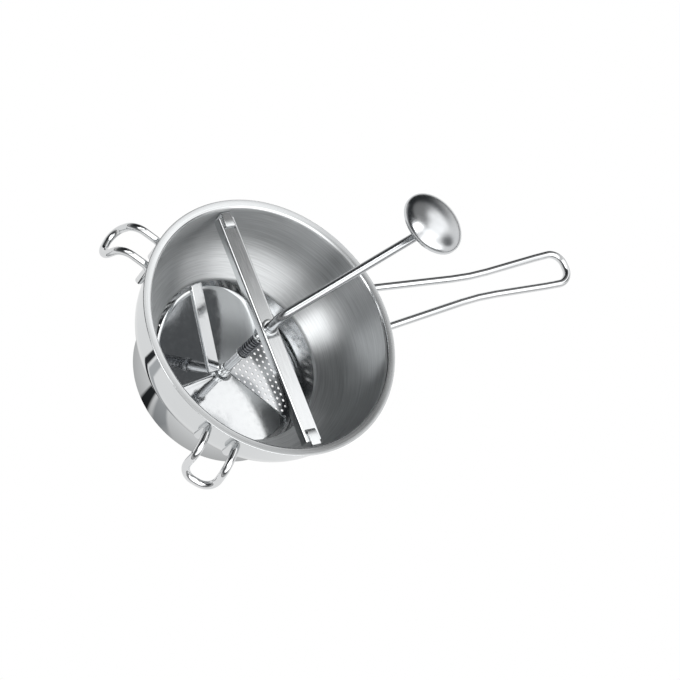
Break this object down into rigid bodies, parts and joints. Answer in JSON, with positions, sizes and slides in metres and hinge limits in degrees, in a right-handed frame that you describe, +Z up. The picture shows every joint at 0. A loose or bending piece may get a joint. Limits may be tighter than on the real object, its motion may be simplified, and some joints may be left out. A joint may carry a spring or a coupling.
{
  "type": "food mill",
  "caption": "Hand-cranked stainless food mill: flared bowl with a perforated sieve, wire handle, pot hooks, sprung crossbar, crank with a domed knob and a folded pressing blade.",
  "frame": {"origin": "middle of the base ring, on the surface the mill stands on, which is also the middle of the outlet", "axes": "+Z up the bowl's axis, +X out along the long handle, the crossbar along Y"},
  "size_m": [0.445, 0.2422, 0.2142],
  "materials": {
    "satin_steel": "satin, turned lines",
    "sieve_steel": "satin",
    "polished_wire": "polished",
    "polished_steel": "polished",
    "blade_steel": "polished",
    "knob_steel": "polished",
    "spring_steel": "drawn wire"
  },
  "bodies": {
    "bowl": {"bowl": "satin_steel", "sieve_disc": "sieve_steel", "long_handle": "polished_wire", "pot_hook_left": "polished_wire", "pot_hook_right": "polished_wire", "bar_lug_left": "polished_steel", "bar_lug_right": "polished_steel"},
    "crossbar": {"crossbar": "polished_steel", "bar_bush": "polished_steel", "bush_washer": "polished_steel", "spring": "spring_steel"},
    "crank": {"crank_rod": "polished_wire", "spring_washer": "polished_steel", "retaining_ring": "spring_steel", "blade_hub": "polished_steel", "hub_pin": "polished_steel", "blade_plate": "blade_steel", "scraper_arm": "blade_steel", "knob_retainer": "polished_steel"},
    "knob": {"knob_cap": "knob_steel", "knob_base": "knob_steel", "knob_sleeve": "polished_steel"}
  },
  "joints": [
    {"name": "crank_turn", "type": "hinge", "parent": "bowl", "child": "crank", "pos_m": [0, 0, 0], "axis": [0, 0, 1], "continuous": true},
    {"name": "knob_spin", "type": "hinge", "parent": "crank", "child": "knob", "pos_m": [0.13019, 0.03174, 0.2015], "axis": [0.1352, 0.033, 0.9903], "continuous": true},
    {"name": "crossbar_press", "type": "slide", "parent": "bowl", "child": "crossbar", "axis": [0, 0, 1], "range_m": [-0.006, 0], "stiffness_N_per_m": 3000, "springref_m": 0.004, "deforming": ["spring"]}
  ]
}
